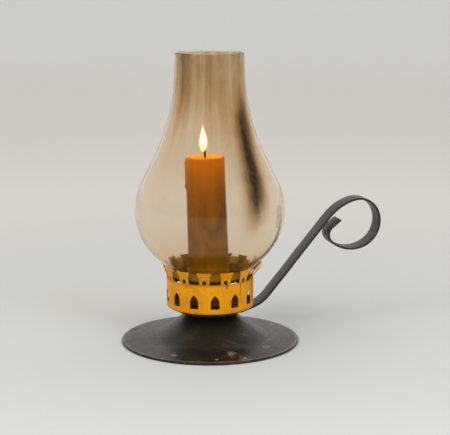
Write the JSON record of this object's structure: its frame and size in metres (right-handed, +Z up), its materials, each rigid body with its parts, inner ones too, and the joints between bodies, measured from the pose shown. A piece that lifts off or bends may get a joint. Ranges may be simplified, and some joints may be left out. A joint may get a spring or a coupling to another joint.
{
  "type": "hurricane candle lamp",
  "caption": "Chamberstick lamp: dished black base, strap handle with a scroll, pierced gilt gallery, round-bellied glass chimney and a lit candle.",
  "frame": {"origin": "on the lamp's axis, in the plane of the table under the base's rolled rim", "axes": "+Z up along the axis of base, gallery and chimney; +X towards the handle; the long straight run of the handle lies in the XZ plane"},
  "size_m": [0.2472, 0.165, 0.2678],
  "materials": {
    "black_paint": "worn satin black paint over sheet steel",
    "black_strap": "dull black paint with rust at the edges",
    "gilt_band": "yellow lacquered sheet metal",
    "sooted_glass": "clear blown glass clouded by soot",
    "candle_wax": "orange-brown wax",
    "burnt_wick": "charred braided cotton",
    "steel_wire": "plain drawn steel",
    "bright_steel": "zinc-plated steel"
  },
  "bodies": {
    "stand": {"base_pan": "black_paint", "rim_wire": "steel_wire", "handle_strap": "black_strap", "handle_rivets": "steel_wire", "candle_dish": "black_paint", "gallery_band": "gilt_band", "candle_cup": "black_paint", "centre_screw": "bright_steel", "base_washer": "bright_steel", "lock_washer": "bright_steel", "centre_nut": "bright_steel"},
    "chimney_glass": {"chimney": "sooted_glass"},
    "candle_stick": {"candle": "candle_wax", "wick": "burnt_wick"}
  },
  "joints": [
    {"name": "chimney_lift", "type": "slide", "parent": "stand", "child": "chimney_glass", "axis": [0, 0, 1], "range_m": [0, 0.13]},
    {"name": "candle_lift", "type": "slide", "parent": "stand", "child": "candle_stick", "axis": [0, 0, 1], "range_m": [0, 0.05]}
  ]
}
